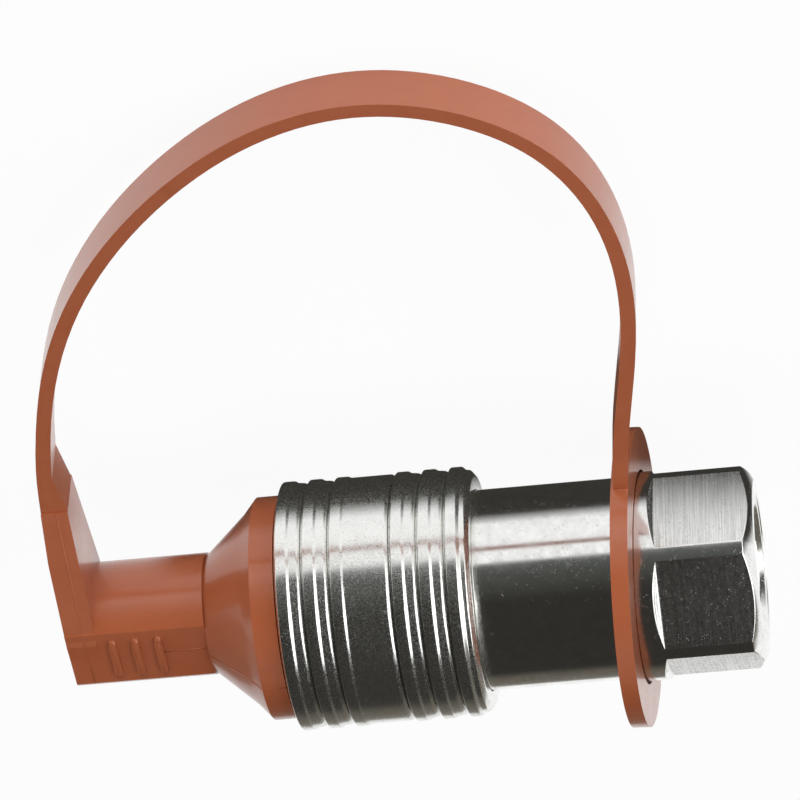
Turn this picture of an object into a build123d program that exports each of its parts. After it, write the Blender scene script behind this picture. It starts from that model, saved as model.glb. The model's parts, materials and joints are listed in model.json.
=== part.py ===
"""Hydraulic test point coupling with its captive dust plug.

A female port body (hexagon end, plain barrel) carries a socket body with a ball lock, a spring
sleeve, a poppet valve and its seals.  A one-piece moulded dust plug closes the socket and stays
tied to the barrel by its strap and eyelet.  All sizes are millimetres.

The coupling's axis is +X: x = 0 is where the port's thread starts, inside its countersunk mouth,
and the socket opens towards +X.  The coupling lies on its side, the strap's loop lies towards -Y
and leans down until its edge meets the surface.
"""
from math import asin, atan2, cos, hypot, pi, radians, sin, sqrt, tan
import os

from build123d import *

os.makedirs("parts", exist_ok=True)

# ---------------------------------------------------------------- driving dimensions
# Port, from its face inwards
port_countersink = 1.7           # depth of the 45 degree mouth
port_bore_radius = 5.8           # tapping size of the G 1/4 port thread
port_thread_length = 11.3
port_drill_angle = 59.0          # half angle of the drill point
passage_radius = 3.5             # oil way from the port to the valve
passage_length = 1.62
chamber_length = 4.0

# Wrench hexagon, milled into the thick end of the bar
hex_length = 9.6                 # length of the wrench flats
hex_runout = 0.77                # axial length of the cutter's run-out at the end of the flats
hex_turn = 37.2                  # angle of the first flat from +Z towards -Y
flat_depth = 1.075               # depth of the flats, 19.05 mm across them
shoulder_height = 0.4            # thick end of the bar over the barrel
face_chamfer_depth = 1.82        # radial width of the chamfer round the port face
face_chamfer_angle = 31.0        # from the port face

# Valve chamber and screwed joint between the two bodies
guide_flange = 2.0               # thickness of the valve guide's flange
guide_ledge = 2.0                # shoulder that the guide stands on
poppet_spring_room = 5.6         # from the guide to the head of the closed poppet
poppet_head_rim = 1.6
joint_wall = 2.2                 # wall of the barrel round the joint
joint_clearance = 0.04
joint_lead = 1.3                 # from the valve seat to the end of the barrel
joint_groove_width = 1.3
joint_groove_gap = 0.5           # wall between the groove and the shoulder
joint_groove_depth = 0.9
seal_clearance = 0.02

# Socket
socket_radius = 7.0              # bore for the mating nipple
nose_wall = 2.2                  # wall of the socket body under the sleeve
socket_mouth = 0.6               # lead-in chamfer
spigot_wall = 1.76               # wall of the socket body behind the valve seat
throat_radius = 3.6
throat_length = 2.4
seal_setback = 1.8               # from the floor of the socket to its seal groove
o_ring_thickness = 1.44
o_ring_stand = 0.14              # how far the O-ring stands out of its groove
backup_ring_width = 0.7
groove_slack = 0.26
seal_to_balls = 3.1
mouth_length = 6.6               # from the ball plane to the front of the socket body

# Ball lock
ball_radius = 1.5
ball_count = 8
ball_travel = 0.75
sleeve_travel = 3.5
ball_clearance = 0.02
ball_hole_clearance = 0.05
ball_lip = 0.25                  # the hole narrows by this at the socket bore
ball_lip_height = 0.55
ramp_lead = 0.4                  # the ramp starts this far behind the ball centres
cut_margin = 0.2                 # how far a cutting tool starts outside the metal

# Release sleeve
sleeve_setback = 0.1             # sleeve behind the front of the socket body
sleeve_bore_clearance = 0.08     # sleeve over the barrel and over the nose
sleeve_wall = 1.47               # wall under the grooves
ridge_height = 0.95
ridge_pitch = 2.75
ridge_crest = 1.05
ridge_flank = 0.25
ridge_step = 0.15
ridge_step_drop = 0.17
ridge_fall = 0.18
land_drop = 0.08                 # plain band under the crests
land_length = 4.55
sleeve_end_chamfer = 0.4
sleeve_end_drop = 1.0
sleeve_tail = 0.85               # fall from the last crest to the back of the sleeve
inner_land = 1.9                 # plain bore between the spring and the ramp
nose_lip = 1.1                   # nose in front of the stop ring's groove
snap_groove_width = 1.0
snap_groove_depth = 0.7
snap_ring_clearance = 0.05
snap_ring_catch = 0.37           # ring over the large end of the ramp
snap_ring_gap_angle = 34.0       # opening of the ring
snap_bore_clearance = 0.2        # counterbore in the sleeve round the ring

# Springs
sleeve_spring_wire = 0.8
sleeve_spring_turns = 4.5
spring_clearance = 0.14          # spring from the nose and from the sleeve
poppet_spring_wire = 0.6
poppet_spring_turns = 4.0
poppet_spring_radius = 3.4       # mean radius

# Poppet valve
poppet_head_gap = 1.2            # head inside the large end of the seat
poppet_nose_gap = 1.0            # nose inside the throat
poppet_nose_reach = 1.8          # nose in front of the floor of the socket
poppet_nose_chamfer = 0.4
poppet_stem_radius = 1.6
poppet_stem_tail = 0.6           # stem behind the guide's hub
poppet_seat_clearance = 0.085
stem_clearance = 0.05
poppet_seal_radius = 0.45        # section of the seal
guide_hub_wall = 1.15
guide_hub_length = 2.4
guide_hole_radius = 1.1
guide_hole_count = 6

# Dust plug: pin, flange, grip and end plate
plug_gap = 0.05                  # flange clear of the socket face
collar_clearance = 0.05          # running fit of the pin's collar in the socket
collar_length = 2.8
pin_ball_gap = 0.36              # pin clear of the locking balls
pin_length = 9.5                 # from the flange into the socket
pin_chamfer = 0.8
flange_cover = 2.2               # flange over the outside of the socket body
flange_rim = 2.45                # width of the flange's round rim
flange_bevel_length = 1.4
flange_bevel_drop = 1.6
cone_length = 4.3
cone_step = 0.3                  # small end of the cone under the stem
stem_radius = 6.25
grip_length = 11.3
grip_flat_depth = 1.05
rib_count = 3
rib_pitch = 2.35
rib_width = 0.8
rib_length = 4.6
rib_height = 0.4
rib_setback = 3.95               # middle rib from the end plate
plate_thickness = 3.1
plate_shoulder = 2.0             # reach at which the plate starts to taper
plate_swell = 0.1                # plate over each grip flat
plate_top = 18.6
plate_back_lean = 0.35           # top of the plate's back in front of its foot ...
plate_back_bend = 12.4           # ... and the reach at which it starts to lean
neck_margin = 0.25               # plate over the strap on each side, where the taper ends
ramp_length = 4.8

# Dust plug: strap and eyelet
strap_width = 5.0
strap_thickness = 1.5
strap_steps = 14                 # points that carry the strap's inner face
eyelet_gap = 1.43                # eyelet clear of the wrench flats
eyelet_thickness = 1.75
eyelet_clearance = 0.3           # eyelet round the thick end of the bar
eyelet_band = 4.3
eyelet_twist = 3.1               # the loose eyelet hangs twisted about the reach of the loop
loop_reach = 67.4                # outside of the loop from the axis
near_bow_start = 2.13            # how far the strap bows out in front of the eyelet ...
near_bow = 3.65
near_shoulder = 1.9              # ... before it comes back over it
loop_top = 18.9                  # outermost point, from the eyelet
far_shoulder = 17.08             # the other side of the loop, from the back of the end plate
far_bow = 5.1
far_bow_start = 1.8
strap_foot = 0.85                # strap in front of the plate's back, where the ramp ends
near_bow_start_share = 0.42      # these marks' distances from the axis, as shares of the reach
near_bow_share = 0.627
near_shoulder_share = 0.879
far_shoulder_share = 0.847
far_bow_share = 0.59
far_bow_start_share = 0.425

# ---------------------------------------------------------------- worked-out places
# Radii, from the socket outwards and then inwards
nose_radius = socket_radius + nose_wall
lock_radius = nose_radius + sleeve_bore_clearance
sleeve_bore_radius = nose_radius + sleeve_spring_wire + 2 * spring_clearance
barrel_radius = sleeve_bore_radius - sleeve_bore_clearance
thick_radius = barrel_radius + shoulder_height
half_flat = thick_radius - flat_depth
face_radius = thick_radius - face_chamfer_depth
port_mouth_radius = port_bore_radius + port_countersink
joint_radius = barrel_radius - joint_wall
chamber_radius = joint_radius - guide_ledge
spigot_radius = joint_radius - joint_clearance
seat_large_radius = spigot_radius - spigot_wall
sleeve_groove_radius = sleeve_bore_radius + sleeve_wall
sleeve_radius = sleeve_groove_radius + ridge_height
eyelet_bore_radius = thick_radius + eyelet_clearance
eyelet_radius = eyelet_bore_radius + eyelet_band

# Places along the axis, from the port towards the socket
port_face = -port_countersink
hex_end = port_face + hex_length
eyelet_start = hex_end + hex_runout + eyelet_gap
eyelet_middle = eyelet_start + eyelet_thickness / 2
shoulder = eyelet_middle
drill_length = (port_bore_radius - passage_radius) / tan(radians(port_drill_angle))
passage_end = port_thread_length + drill_length + passage_length
guide_seat = passage_end + chamber_length
guide_front = guide_seat + guide_flange
poppet_head_back = guide_front + poppet_spring_room
seat_start = poppet_head_back + poppet_head_rim
seat_end = seat_start + seat_large_radius - throat_radius
joint_face = seat_start + joint_lead
socket_floor = seat_end + throat_length
socket_groove_start = socket_floor + seal_setback
socket_groove_end = socket_groove_start + o_ring_thickness + backup_ring_width + groove_slack
socket_groove_depth = o_ring_thickness - o_ring_stand
ball_plane = socket_groove_end + seal_to_balls
socket_face = ball_plane + mouth_length
sleeve_front = socket_face - sleeve_setback
snap_groove_end = socket_face - nose_lip
snap_groove_start = snap_groove_end - snap_groove_width
snap_groove_radius = nose_radius - snap_groove_depth
flange_back = socket_face + plug_gap
flange_radius = nose_radius + flange_cover
rim_end = flange_back + flange_rim
cone_start = rim_end + flange_bevel_length
cone_end = cone_start + cone_length
stem_end = cone_end + grip_length
plate_end = stem_end + plate_thickness

# Ball lock: the balls lean on the sleeve's bore just in front of the ramp.
ramp_slope = ball_travel / sleeve_travel
ramp_start = ball_plane - ramp_lead
ramp_secant = sqrt(1 + ramp_slope**2)
ball_centre_radius = lock_radius + ramp_slope * ramp_lead - (ball_radius + ball_clearance) * ramp_secant
ramp_end_radius = lock_radius + ramp_slope * (snap_groove_start - ramp_start)
snap_ring_radius = ramp_end_radius + snap_ring_catch
spring_shoulder = ramp_start - inner_land

# The loop leans down until the edge of the strap is level with the underside of the eyelet.
half_strap = strap_width / 2
loop_lean = asin(eyelet_radius / hypot(loop_reach, half_strap)) - atan2(half_strap, loop_reach)
loop_plane = Plane(origin=(0, 0, 0), x_dir=(1, 0, 0), z_dir=(0, sin(loop_lean), -cos(loop_lean)))


def loop_section(x):
    """Plane square to the axis at x, with its y axis along the reach of the loop."""
    return Plane(origin=(x, 0, 0), x_dir=(0, -sin(loop_lean), cos(loop_lean)), z_dir=(1, 0, 0))


def radial_plane(x, angle):
    """Plane at x on the axis that faces outwards at an angle from +Y towards +Z."""
    return Plane(origin=(x, 0, 0), x_dir=(1, 0, 0), z_dir=(0, cos(angle), sin(angle)))


# ---------------------------------------------------------------- port body
# Turned from round bar.  Six flats are milled into its thick end, so narrow strips of the round
# bar stay between them.  The bar steps down to the barrel under the eyelet of the dust plug.
chamfer_length = face_chamfer_depth * tan(radians(face_chamfer_angle))

with BuildPart() as port_body:
    with BuildSketch(Plane.XY):
        with BuildLine():
            Polyline(
                (port_face, port_mouth_radius),
                (port_face, face_radius),
                (port_face + chamfer_length, thick_radius),
                (shoulder, thick_radius),
                (shoulder, barrel_radius),
                (joint_face, barrel_radius),
                (joint_face, joint_radius),
                (guide_seat, joint_radius),
                (guide_seat, chamber_radius),
                (passage_end, chamber_radius),
                (passage_end, passage_radius),
                (port_thread_length + drill_length, passage_radius),
                (port_thread_length, port_bore_radius),
                (0, port_bore_radius),
                close=True,
            )
        make_face()
    revolve(axis=Axis.X)
    for side in range(6):
        turn = radians(90 + hex_turn + 60 * side)
        # In this plane x runs along the axis and y along the normal of the flat.
        flat_profile = Plane(origin=(0, 0, 0), x_dir=(1, 0, 0), z_dir=(0, -sin(turn), cos(turn)))
        with BuildSketch(flat_profile):
            with BuildLine():
                Polyline(
                    (port_face - cut_margin, half_flat),
                    (hex_end, half_flat),
                    (hex_end + hex_runout, thick_radius),
                    (hex_end + hex_runout, thick_radius + cut_margin),
                    (port_face - cut_margin, thick_radius + cut_margin),
                    close=True,
                )
            make_face()
        extrude(amount=thick_radius, both=True, mode=Mode.SUBTRACT)
port_body.part.label = "port_body"

# ---------------------------------------------------------------- socket body
# The spigot screws into the port body, the shoulder seats on the end of the barrel.
joint_groove_end = joint_face - joint_groove_gap
joint_groove_start = joint_groove_end - joint_groove_width
ball_hole_radius = ball_radius + ball_hole_clearance
ball_lip_start = socket_radius - cut_margin
ball_angles = [2 * pi * n / ball_count for n in range(ball_count)]

with BuildPart() as socket_body:
    with BuildSketch(Plane.XY):
        with BuildLine():
            Polyline(
                (guide_front, seat_large_radius),
                (guide_front, spigot_radius),
                (joint_groove_start, spigot_radius),
                (joint_groove_start, spigot_radius - joint_groove_depth),
                (joint_groove_end, spigot_radius - joint_groove_depth),
                (joint_groove_end, spigot_radius),
                (joint_face, spigot_radius),
                (joint_face, nose_radius),
                (snap_groove_start, nose_radius),
                (snap_groove_start, snap_groove_radius),
                (snap_groove_end, snap_groove_radius),
                (snap_groove_end, nose_radius),
                (socket_face - socket_mouth / 2, nose_radius),
                (socket_face, nose_radius - socket_mouth / 2),
                (socket_face, socket_radius + socket_mouth),
                (socket_face - socket_mouth, socket_radius),
                (socket_groove_end, socket_radius),
                (socket_groove_end, socket_radius + socket_groove_depth),
                (socket_groove_start, socket_radius + socket_groove_depth),
                (socket_groove_start, socket_radius),
                (socket_floor, socket_radius),
                (socket_floor, throat_radius),
                (seat_end, throat_radius),
                (seat_start, seat_large_radius),
                close=True,
            )
        make_face()
    revolve(axis=Axis.X)
    for angle in ball_angles:
        outwards = radial_plane(ball_plane, angle)
        with BuildSketch(outwards.offset(ball_lip_start + ball_lip_height)):
            Circle(ball_hole_radius)
        extrude(amount=nose_radius, mode=Mode.SUBTRACT)
        with Locations(outwards.offset(ball_lip_start).location):
            Cone(
                ball_hole_radius - ball_lip,
                ball_hole_radius,
                ball_lip_height,
                align=(Align.CENTER, Align.CENTER, Align.MIN),
                mode=Mode.SUBTRACT,
            )
socket_body.part.label = "socket_body"

# ---------------------------------------------------------------- locking balls
for number, angle in enumerate(ball_angles, start=1):
    with BuildPart() as locking_ball:
        centre = radial_plane(ball_plane, angle).offset(ball_centre_radius)
        with Locations(centre.location):
            Sphere(ball_radius)
    locking_ball.part.label = f"locking_ball_{number}"
    export_step(locking_ball.part, f"parts/locking_ball_{number}.step")

# ---------------------------------------------------------------- release sleeve
# Each ridge climbs a short flank to its crest, drops a small step and falls gently to the next
# groove.  Distances in the ridge outlines run back from the front face of the sleeve.


def ridge_rise(start):
    """Flank and crest of a ridge that starts in the groove at the given distance."""
    return [
        (start, sleeve_groove_radius),
        (start + ridge_flank, sleeve_radius),
        (start + ridge_flank + ridge_crest, sleeve_radius),
    ]


def ridge_fall_back(start):
    """Step and falling back of the same ridge, down to its groove."""
    step_end = start + ridge_flank + ridge_crest + ridge_step
    wall = start + ridge_pitch - ridge_flank
    return [
        (step_end, sleeve_radius - ridge_step_drop),
        (wall, sleeve_radius - ridge_step_drop - ridge_fall),
        (start + ridge_pitch - ridge_flank / 2, sleeve_groove_radius),
    ]


first_land = 2 * ridge_pitch + ridge_flank + ridge_crest + ridge_step
second_group = first_land + land_length + ridge_flank
last_crest = second_group + 2 * ridge_pitch
crest_end = last_crest + ridge_flank + ridge_crest
sleeve_length = crest_end + sleeve_end_chamfer + sleeve_tail
sleeve_back = sleeve_front - sleeve_length
land_radius = sleeve_radius - land_drop
snap_bore_radius = snap_ring_radius + snap_bore_clearance
outside = []
for start in (0, ridge_pitch):
    outside += ridge_rise(start) + ridge_fall_back(start)
outside += ridge_rise(2 * ridge_pitch)
outside += [
    (first_land, land_radius),
    (second_group - ridge_flank, land_radius),
    (second_group - ridge_flank / 2, sleeve_groove_radius),
]
for start in (second_group, second_group + ridge_pitch):
    outside += ridge_rise(start) + ridge_fall_back(start)
outside += ridge_rise(last_crest)
outside += [
    (crest_end + sleeve_end_chamfer, sleeve_radius - sleeve_end_chamfer),
    (sleeve_length, sleeve_radius - sleeve_end_drop),
]
inside = [
    (sleeve_back, sleeve_bore_radius),
    (spring_shoulder, sleeve_bore_radius),
    (spring_shoulder, lock_radius),
    (ramp_start, lock_radius),
    (snap_groove_start, ramp_end_radius),
    (snap_groove_start, snap_bore_radius),
    (sleeve_front, snap_bore_radius),
]

with BuildPart() as release_sleeve:
    with BuildSketch(Plane.XY):
        with BuildLine():
            Polyline(*[(sleeve_front - back, radius) for back, radius in outside], *inside, close=True)
        make_face()
    revolve(axis=Axis.X)
release_sleeve.part.label = "release_sleeve"

# ---------------------------------------------------------------- sleeve stop ring
ring_start = snap_groove_start + snap_ring_clearance
ring_end = snap_groove_end - snap_ring_clearance
with BuildPart() as sleeve_stop_ring:
    with BuildSketch(Plane.XY):
        with BuildLine():
            Polyline(
                (ring_start, snap_groove_radius + snap_ring_clearance),
                (ring_start, snap_ring_radius),
                (ring_end, snap_ring_radius),
                (ring_end, snap_groove_radius + snap_ring_clearance),
                close=True,
            )
        make_face()
    revolve(axis=Axis.X, revolution_arc=360 - snap_ring_gap_angle)
sleeve_stop_ring.part.label = "sleeve_stop_ring"

# ---------------------------------------------------------------- springs
sleeve_spring_length = spring_shoulder - joint_face - sleeve_spring_wire
sleeve_spring_radius = (nose_radius + sleeve_bore_radius) / 2
with BuildPart() as sleeve_spring:
    with BuildLine() as coil:
        Helix(
            pitch=sleeve_spring_length / sleeve_spring_turns,
            height=sleeve_spring_length,
            radius=sleeve_spring_radius,
            center=(joint_face + sleeve_spring_wire / 2, 0, 0),
            direction=(1, 0, 0),
        )
    with BuildSketch(Plane(origin=coil.line @ 0, z_dir=coil.line % 0)):
        Circle(sleeve_spring_wire / 2)
    sweep(is_frenet=True)
sleeve_spring.part.label = "sleeve_spring"

poppet_spring_length = poppet_head_back - guide_front - poppet_spring_wire
with BuildPart() as poppet_spring:
    with BuildLine() as coil:
        Helix(
            pitch=poppet_spring_length / poppet_spring_turns,
            height=poppet_spring_length,
            radius=poppet_spring_radius,
            center=(guide_front + poppet_spring_wire / 2, 0, 0),
            direction=(1, 0, 0),
        )
    with BuildSketch(Plane(origin=coil.line @ 0, z_dir=coil.line % 0)):
        Circle(poppet_spring_wire / 2)
    sweep(is_frenet=True)
poppet_spring.part.label = "poppet_spring"

# ---------------------------------------------------------------- poppet valve
# The head's cone runs parallel to the seat; the seal stands proud of it in a round groove.
guide_hub_start = guide_seat - guide_hub_length
poppet_stem_end = guide_hub_start - poppet_stem_tail
poppet_head_radius = seat_large_radius - poppet_head_gap
poppet_nose_radius = throat_radius - poppet_nose_gap
poppet_nose_end = socket_floor + poppet_nose_reach
poppet_seal_centre_radius = (throat_radius + poppet_head_radius) / 2
seat_reach = seat_start + seat_large_radius            # x plus radius along the seat cone
cone_reach = seat_reach - poppet_seat_clearance * sqrt(2)
seal_reach = seat_reach - (poppet_seal_radius + seal_clearance) * sqrt(2)
seal_x = seal_reach - poppet_seal_centre_radius

with BuildPart() as poppet_valve:
    with BuildSketch(Plane.XY):
        with BuildLine():
            Polyline(
                (poppet_stem_end, 0),
                (poppet_stem_end, poppet_stem_radius),
                (poppet_head_back, poppet_stem_radius),
                (poppet_head_back, poppet_head_radius),
                (cone_reach - poppet_head_radius, poppet_head_radius),
                (cone_reach - poppet_nose_radius, poppet_nose_radius),
                (poppet_nose_end - poppet_nose_chamfer, poppet_nose_radius),
                (poppet_nose_end, poppet_nose_radius - poppet_nose_chamfer),
                (poppet_nose_end, 0),
                close=True,
            )
        make_face()
    revolve(axis=Axis.X)
    with BuildSketch(Plane.XY):
        with Locations((seal_x, poppet_seal_centre_radius)):
            Circle(poppet_seal_radius + seal_clearance)
    revolve(axis=Axis.X, mode=Mode.SUBTRACT)
poppet_valve.part.label = "poppet_valve"

with BuildPart() as poppet_seal:
    with BuildSketch(Plane.XY):
        with Locations((seal_x, poppet_seal_centre_radius)):
            Circle(poppet_seal_radius)
    revolve(axis=Axis.X)
poppet_seal.part.label = "poppet_seal"

# ---------------------------------------------------------------- valve guide
guide_bore_radius = poppet_stem_radius + stem_clearance
guide_hub_radius = guide_bore_radius + guide_hub_wall
guide_hole_circle = chamber_radius - guide_hole_radius
with BuildPart() as valve_guide:
    with BuildSketch(Plane.XY):
        with BuildLine():
            Polyline(
                (guide_hub_start, guide_bore_radius),
                (guide_hub_start, guide_hub_radius),
                (guide_seat, guide_hub_radius),
                (guide_seat, spigot_radius),
                (guide_front, spigot_radius),
                (guide_front, guide_bore_radius),
                close=True,
            )
        make_face()
    revolve(axis=Axis.X)
    with BuildSketch(Plane.YZ.offset(guide_seat)):
        with PolarLocations(guide_hole_circle, guide_hole_count):
            Circle(guide_hole_radius)
    extrude(amount=guide_flange, mode=Mode.SUBTRACT)
valve_guide.part.label = "valve_guide"

# ---------------------------------------------------------------- seals in the two bodies
joint_seal_radius = (joint_groove_depth + joint_clearance) / 2 - seal_clearance
with BuildPart() as joint_seal:
    with BuildSketch(Plane.XY):
        with Locations(
            (
                (joint_groove_start + joint_groove_end) / 2,
                joint_radius - seal_clearance - joint_seal_radius,
            )
        ):
            Circle(joint_seal_radius)
    revolve(axis=Axis.X)
joint_seal.part.label = "joint_seal"

groove_top = socket_radius + socket_groove_depth - seal_clearance
with BuildPart() as socket_seal:
    with BuildSketch(Plane.XY):
        with Locations((socket_groove_start + o_ring_thickness / 2, groove_top - o_ring_thickness / 2)):
            Circle(o_ring_thickness / 2)
    revolve(axis=Axis.X)
socket_seal.part.label = "socket_seal"

backup_end = socket_groove_end - seal_clearance
with BuildPart() as backup_ring:
    with BuildSketch(Plane.XY):
        with BuildLine():
            Polyline(
                (backup_end - backup_ring_width, socket_radius + collar_clearance),
                (backup_end - backup_ring_width, groove_top),
                (backup_end, groove_top),
                (backup_end, socket_radius + collar_clearance),
                close=True,
            )
        make_face()
    revolve(axis=Axis.X)
backup_ring.part.label = "backup_ring"

# ---------------------------------------------------------------- dust plug
# One moulding: pin and collar in the socket, flange and cone, grip with two ribbed flats, tapered
# end plate, flat strap over the loop and the eyelet that runs round the barrel.
collar_radius = socket_radius - collar_clearance
pin_radius = ball_centre_radius - ball_radius - pin_ball_gap
pin_end = flange_back - pin_length
stem_flat = stem_radius - grip_flat_depth
plate_half = stem_flat + plate_swell
neck_half = half_strap + neck_margin
ramp_top = plate_top + ramp_length


def strap_inside(outer, share):
    """Point on the inner face of the strap, square to its outer face at a share of the length."""
    along = outer % share
    return outer @ share + Vector(along.Y, -along.X) * strap_thickness


with BuildPart() as dust_plug:
    with BuildSketch(Plane.XY):
        with BuildLine():
            Polyline(
                (pin_end, 0),
                (pin_end, pin_radius - pin_chamfer),
                (pin_end + pin_chamfer, pin_radius),
                (flange_back - collar_length, pin_radius),
                (flange_back - collar_length, collar_radius),
                (flange_back, collar_radius),
                (flange_back, flange_radius),
                (rim_end, flange_radius),
                (cone_start, flange_radius - flange_bevel_drop),
                (cone_end, stem_radius - cone_step),
                (cone_end, stem_radius),
                (plate_end, stem_radius),
                (plate_end, 0),
                close=True,
            )
        make_face()
    revolve(axis=Axis.X)
    with BuildSketch(loop_section(cone_end)):
        with Locations((stem_flat + stem_radius / 2, 0), (-stem_flat - stem_radius / 2, 0)):
            Rectangle(stem_radius, 2 * stem_radius)
    extrude(amount=plate_end - cone_end, mode=Mode.SUBTRACT)
    for side in (1, -1):
        with BuildSketch(loop_plane.offset(side * stem_flat)):
            with Locations((stem_end - rib_setback, 0)):
                with GridLocations(rib_pitch, 0, rib_count, 1):
                    SlotOverall(rib_length, rib_width, rotation=90)
        extrude(amount=side * rib_height)
    with BuildSketch(loop_section(stem_end)):
        with BuildLine():
            Polyline(
                (-stem_flat, 0),
                (-plate_half, plate_shoulder),
                (-neck_half, plate_top),
                (neck_half, plate_top),
                (plate_half, plate_shoulder),
                (stem_flat, 0),
                close=True,
            )
        make_face()
    extrude(amount=plate_thickness)
    with BuildSketch(loop_plane):
        with BuildLine():
            Polyline(
                (plate_end, plate_back_bend),
                (plate_end - plate_back_lean, plate_top),
                (plate_end - plate_back_lean, plate_top + cut_margin),
                (plate_end + cut_margin, plate_top + cut_margin),
                (plate_end + cut_margin, plate_back_bend),
                close=True,
            )
        make_face()
    extrude(amount=stem_radius, both=True, mode=Mode.SUBTRACT)
    with BuildSketch(loop_plane):
        with BuildLine():
            Polyline(
                (stem_end, plate_top),
                (plate_end - plate_back_lean - strap_thickness / 2, plate_top),
                (plate_end - strap_foot - strap_thickness / 2, ramp_top),
                (plate_end - strap_foot - strap_thickness, ramp_top),
                close=True,
            )
        make_face()
        with BuildLine():
            outer = Spline(
                (eyelet_start, eyelet_radius - strap_thickness),
                (eyelet_start - near_bow_start, near_bow_start_share * loop_reach),
                (eyelet_start - near_bow, near_bow_share * loop_reach),
                (eyelet_start + near_shoulder, near_shoulder_share * loop_reach),
                (eyelet_start + loop_top, loop_reach),
                (plate_end - far_shoulder, far_shoulder_share * loop_reach),
                (plate_end - far_bow, far_bow_share * loop_reach),
                (plate_end - far_bow_start, far_bow_start_share * loop_reach),
                (plate_end - strap_foot, ramp_top),
                (plate_end - plate_back_lean, plate_top),
                tangents=((-0.05, 1), (0.09, -1)),
            )
            inner = Spline(*[strap_inside(outer, n / strap_steps) for n in range(strap_steps + 1)])
            Line(outer @ 0, inner @ 0)
            Line(outer @ 1, inner @ 1)
        make_face()
    extrude(amount=half_strap, both=True)
    twist = radians(eyelet_twist)
    with BuildSketch(Plane(origin=(eyelet_middle, 0, 0), x_dir=(0, 1, 0), z_dir=(cos(twist), 0, -sin(twist)))):
        Circle(eyelet_radius)
        Circle(eyelet_bore_radius, mode=Mode.SUBTRACT)
    extrude(amount=eyelet_thickness / 2, both=True)
dust_plug.part.label = "dust_plug"

# ---------------------------------------------------------------- write the pieces
export_step(port_body.part, "parts/port_body.step")
export_step(socket_body.part, "parts/socket_body.step")
export_step(release_sleeve.part, "parts/release_sleeve.step")
export_step(sleeve_stop_ring.part, "parts/sleeve_stop_ring.step")
export_step(sleeve_spring.part, "parts/sleeve_spring.step")
export_step(poppet_spring.part, "parts/poppet_spring.step")
export_step(poppet_valve.part, "parts/poppet_valve.step")
export_step(poppet_seal.part, "parts/poppet_seal.step")
export_step(valve_guide.part, "parts/valve_guide.step")
export_step(joint_seal.part, "parts/joint_seal.step")
export_step(socket_seal.part, "parts/socket_seal.step")
export_step(backup_ring.part, "parts/backup_ring.step")
export_step(dust_plug.part, "parts/dust_plug.step")
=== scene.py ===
"""Looks of the hydraulic test point coupling and its captive dust plug.

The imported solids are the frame.  This script rounds their edges, turns the port body with its cut
thread and the release sleeve with its fine ridges, adds the moulding marks and grip ribs of the
dust plug and gives every piece its finish.  Sizes are in millimetres and are turned into metres
where a mesh is made.
"""

from __future__ import annotations

import json
import logging
import math
from abc import ABC, abstractmethod
from dataclasses import dataclass
from enum import Enum
from typing import Any, Callable, Iterable, Sequence

import bmesh
import bpy
from mathutils import Matrix, Vector

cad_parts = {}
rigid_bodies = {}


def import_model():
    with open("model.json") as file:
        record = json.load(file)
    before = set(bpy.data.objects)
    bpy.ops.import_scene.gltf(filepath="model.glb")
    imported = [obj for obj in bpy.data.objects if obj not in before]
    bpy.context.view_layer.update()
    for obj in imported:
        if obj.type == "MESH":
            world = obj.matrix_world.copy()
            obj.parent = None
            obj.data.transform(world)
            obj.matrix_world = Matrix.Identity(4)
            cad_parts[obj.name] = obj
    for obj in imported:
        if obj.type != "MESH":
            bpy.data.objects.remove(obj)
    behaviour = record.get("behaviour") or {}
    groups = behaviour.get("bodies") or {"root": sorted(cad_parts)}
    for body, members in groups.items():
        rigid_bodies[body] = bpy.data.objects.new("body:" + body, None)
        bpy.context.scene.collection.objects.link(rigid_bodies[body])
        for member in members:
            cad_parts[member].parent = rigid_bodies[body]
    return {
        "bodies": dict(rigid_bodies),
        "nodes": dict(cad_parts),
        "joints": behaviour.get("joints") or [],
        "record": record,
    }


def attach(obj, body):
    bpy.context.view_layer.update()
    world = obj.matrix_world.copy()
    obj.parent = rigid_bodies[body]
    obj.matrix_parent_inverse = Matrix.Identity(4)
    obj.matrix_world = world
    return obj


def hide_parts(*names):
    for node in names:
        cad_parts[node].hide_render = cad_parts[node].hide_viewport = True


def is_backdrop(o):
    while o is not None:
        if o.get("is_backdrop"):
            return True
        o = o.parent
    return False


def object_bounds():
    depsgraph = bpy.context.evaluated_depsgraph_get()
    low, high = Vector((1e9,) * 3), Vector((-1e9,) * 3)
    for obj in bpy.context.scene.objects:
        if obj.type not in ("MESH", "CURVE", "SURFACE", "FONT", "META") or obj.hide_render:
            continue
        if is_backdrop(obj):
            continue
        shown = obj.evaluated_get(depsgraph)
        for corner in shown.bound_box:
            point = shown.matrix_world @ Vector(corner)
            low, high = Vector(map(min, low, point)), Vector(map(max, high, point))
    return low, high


LOG = logging.getLogger("test_point_coupling")
MM = 0.001
Colour = tuple[float, float, float]
Span = tuple[float, float]
Outline = list[Span]
Socket = bpy.types.NodeSocket
WHITE: Colour = (1.0, 1.0, 1.0)


class Body(Enum):
    """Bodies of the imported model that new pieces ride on."""

    COUPLING = "coupling"
    SLEEVE = "sleeve"
    PLUG = "plug"


class Slot(Enum):
    """Material slots of the record."""

    PLATED = "plated_steel"
    TURNED = "turned_steel"
    SPRING = "spring_steel"
    BALL = "ball_steel"
    NITRILE = "nitrile"
    WHITE = "white_plastic"
    BROWN = "brown_plastic"


class Side(Enum):
    """Halves of the dust plug's mould, with the sign of their side."""

    UPPER = 1.0
    LOWER = -1.0


# ------------------------------------------------------------------ node trees


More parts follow.
